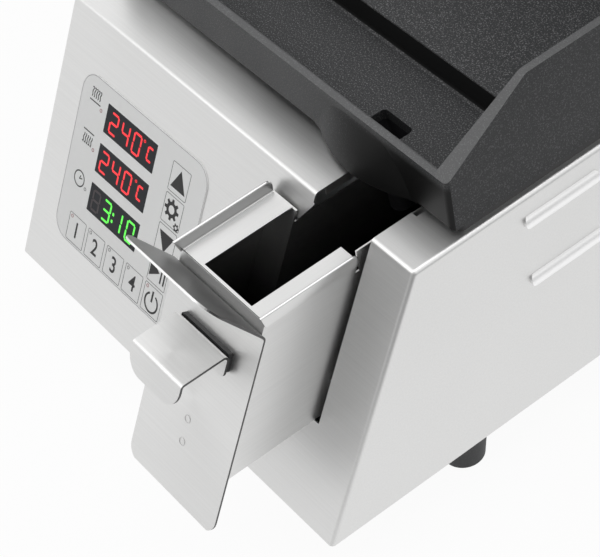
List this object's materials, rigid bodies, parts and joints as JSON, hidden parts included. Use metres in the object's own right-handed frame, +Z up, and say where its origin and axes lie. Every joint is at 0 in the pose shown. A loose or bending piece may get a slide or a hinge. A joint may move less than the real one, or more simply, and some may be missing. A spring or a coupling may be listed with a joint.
{
  "type": "contact grill",
  "caption": "Countertop contact grill: sloping steel housing with keypad, cast lower plate with gutter, slide-out grease drawer and a sprung lid with a tilting ribbed plate.",
  "frame": {"origin": "middle of the overall footprint, with the drawer in and the lid open, on the surface the feet stand on", "axes": "+Z up, +Y from the keypad towards the hinge, +X to the right as seen by the user in front"},
  "size_m": [0.3152, 0.51, 0.549],
  "materials": {
    "stainless": "brushed stainless sheet",
    "zinc_steel": "plain zinc-coated sheet",
    "enamel": "satin speckled enamel on a casting",
    "rubber": "matt dark rubber",
    "black_plastic": "matt heat-proof plastic",
    "film": "pale printed membrane",
    "lens": "dark polished lens",
    "board": "circuit board laminate",
    "ceramic": "moulded off-white insulator",
    "fibre": "mineral fibre",
    "heater": "heat-tinted steel sheath",
    "screw_steel": "plain machined steel",
    "chrome": "polished plated steel",
    "bronze": "sintered bronze",
    "spring": "dark oiled spring steel"
  },
  "bodies": {
    "chassis": {"base_plate": "zinc_steel", "board_posts": "screw_steel", "bracket_screws": "screw_steel", "cable_gland": "black_plastic", "conduit_socket": "black_plastic", "control_board": "board", "display_modules": "black_plastic", "display_windows": "lens", "drain_spout": "enamel", "drawer_guide": "zinc_steel", "foot_back_left": "rubber", "foot_back_right": "rubber", "foot_front_left": "rubber", "foot_front_right": "rubber", "foot_screws": "screw_steel", "heat_shield": "zinc_steel", "hinge_bracket_left": "zinc_steel", "hinge_bracket_right": "zinc_steel", "hinge_bushes": "bronze", "hinge_tower": "stainless", "housing_shell": "stainless", "keypad_film": "film", "lid_stops": "black_plastic", "lower_clamp_sheet": "zinc_steel", "lower_element": "heater", "lower_grill_plate": "enamel", "lower_insulation": "fibre", "lower_pan": "zinc_steel", "lower_probe": "screw_steel", "plate_gasket": "fibre", "plate_screws": "screw_steel", "power_relays": "black_plastic", "rear_cover": "stainless", "safety_cutout": "ceramic", "terminal_block": "ceramic", "torsion_spring_left": "spring", "torsion_spring_right": "spring"},
    "lid": {"handle_bar": "stainless", "handle_caps": "chrome", "handle_grip": "black_plastic", "hinge_shaft": "screw_steel", "lid_arm_left": "stainless", "lid_arm_right": "stainless", "pivot_bolts": "chrome", "shaft_nuts": "chrome", "spring_collars": "zinc_steel"},
    "tilting_plate": {"hood_socket": "black_plastic", "pivot_frame": "zinc_steel", "upper_clamp_sheet": "zinc_steel", "upper_element": "heater", "upper_grill_plate": "enamel", "upper_hood": "stainless", "upper_insulation": "fibre", "upper_probe": "screw_steel"},
    "drawer": {"drawer_box": "stainless", "drawer_front": "stainless", "drawer_handle": "stainless", "drawer_rim": "stainless", "handle_rivets": "screw_steel", "handle_spacer": "black_plastic"}
  },
  "joints": [
    {"name": "lid_hinge", "type": "hinge", "parent": "chassis", "child": "lid", "pos_m": [0, 0.21204, 0.278], "axis": [1, 0, 0], "range_deg": [-8, 65], "stiffness_Nm_per_rad": 4.7, "springref_deg": -100.55},
    {"name": "plate_tilt", "type": "hinge", "parent": "lid", "child": "tilting_plate", "pos_m": [0, 0.14653, 0.40192], "axis": [1, 0, 0], "range_deg": [-4.5, 4.5]},
    {"name": "drawer_slide", "type": "slide", "parent": "chassis", "child": "drawer", "axis": [0, -1, 0], "range_m": [0, 0.11]}
  ]
}
